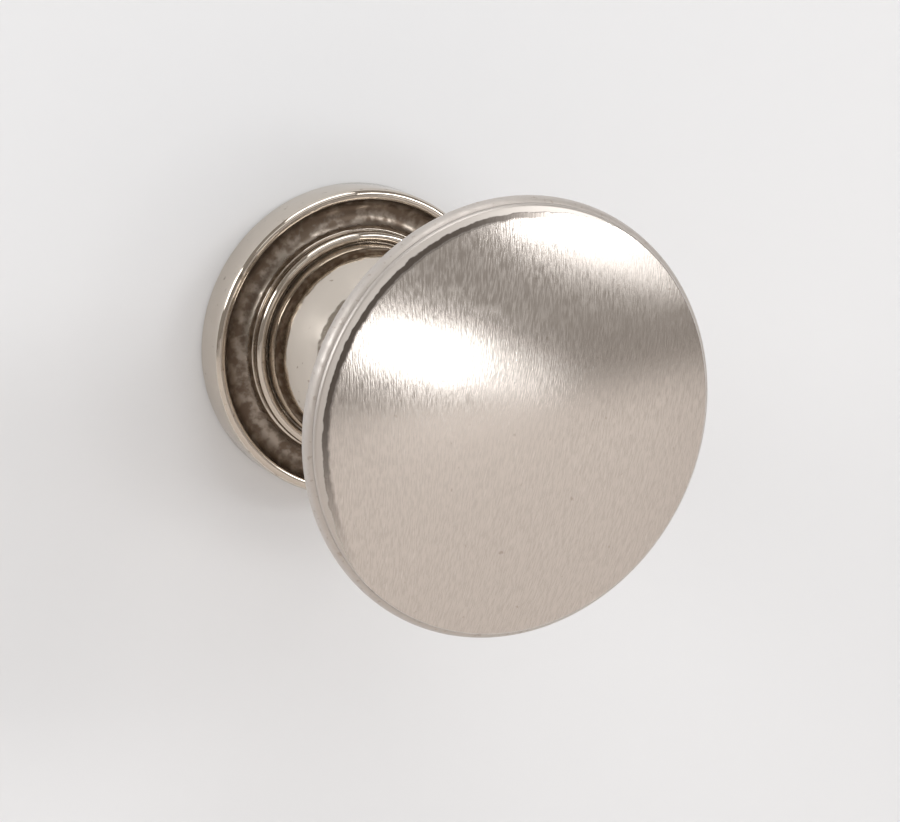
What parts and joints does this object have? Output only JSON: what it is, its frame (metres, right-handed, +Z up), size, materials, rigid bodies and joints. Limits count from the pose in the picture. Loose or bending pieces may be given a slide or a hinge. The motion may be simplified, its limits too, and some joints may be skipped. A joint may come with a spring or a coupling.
{
  "type": "door knob",
  "caption": "Round cupboard door knob in nickel: brushed domed head on a bulbous neck and dished rose, with its fixing screw and washers.",
  "frame": {"origin": "on the knob's axis, in the plane of the rose's back, which is the face of the door", "axes": "-Y along the knob's axis out of the door towards the hand, +Y into the door, +Z up"},
  "size_m": [0.035, 0.0564, 0.035],
  "materials": {
    "face_nickel": "brushed nickel plating, coarse brush marks",
    "rim_nickel": "satin nickel plating",
    "neck_nickel": "polished nickel plating",
    "rose_nickel": "polished nickel plating",
    "collar_nickel": "polished nickel plating",
    "insert_brass": "turned brass",
    "clip_steel": "phosphated spring steel",
    "tooth_washer_steel": "blued spring steel",
    "nut_zinc": "bright zinc plating",
    "washer_zinc": "bright zinc plating",
    "spring_washer_steel": "dark spring steel",
    "screw_zinc": "bright zinc plating"
  },
  "bodies": {
    "rose_body": {"rose": "rose_nickel", "neck_collar": "collar_nickel"},
    "knob": {"neck": "neck_nickel", "retaining_clip": "clip_steel", "threaded_insert": "insert_brass", "head_cup": "rim_nickel", "toothed_washer": "tooth_washer_steel", "head_nut": "nut_zinc", "face_cap": "face_nickel"},
    "washers": {"plain_washer": "washer_zinc", "spring_washer": "spring_washer_steel"},
    "screw": {"fixing_screw": "screw_zinc"}
  },
  "joints": [
    {"name": "knob_turn", "type": "hinge", "parent": "rose_body", "child": "knob", "pos_m": [0, 0, 0], "axis": [0, -1, 0], "continuous": true},
    {"name": "screw_travel", "type": "slide", "parent": "knob", "child": "washers", "axis": [0, 1, 0], "range_m": [0, 0.0084]},
    {"name": "screw_turn", "type": "hinge", "parent": "washers", "child": "screw", "pos_m": [0, 0.0197, 0], "axis": [0, 1, 0], "range_deg": [0, 4320]}
  ],
  "couplings": [
    {"joint": "screw_turn", "follows": "screw_travel", "rad_per_m": 8976}
  ]
}
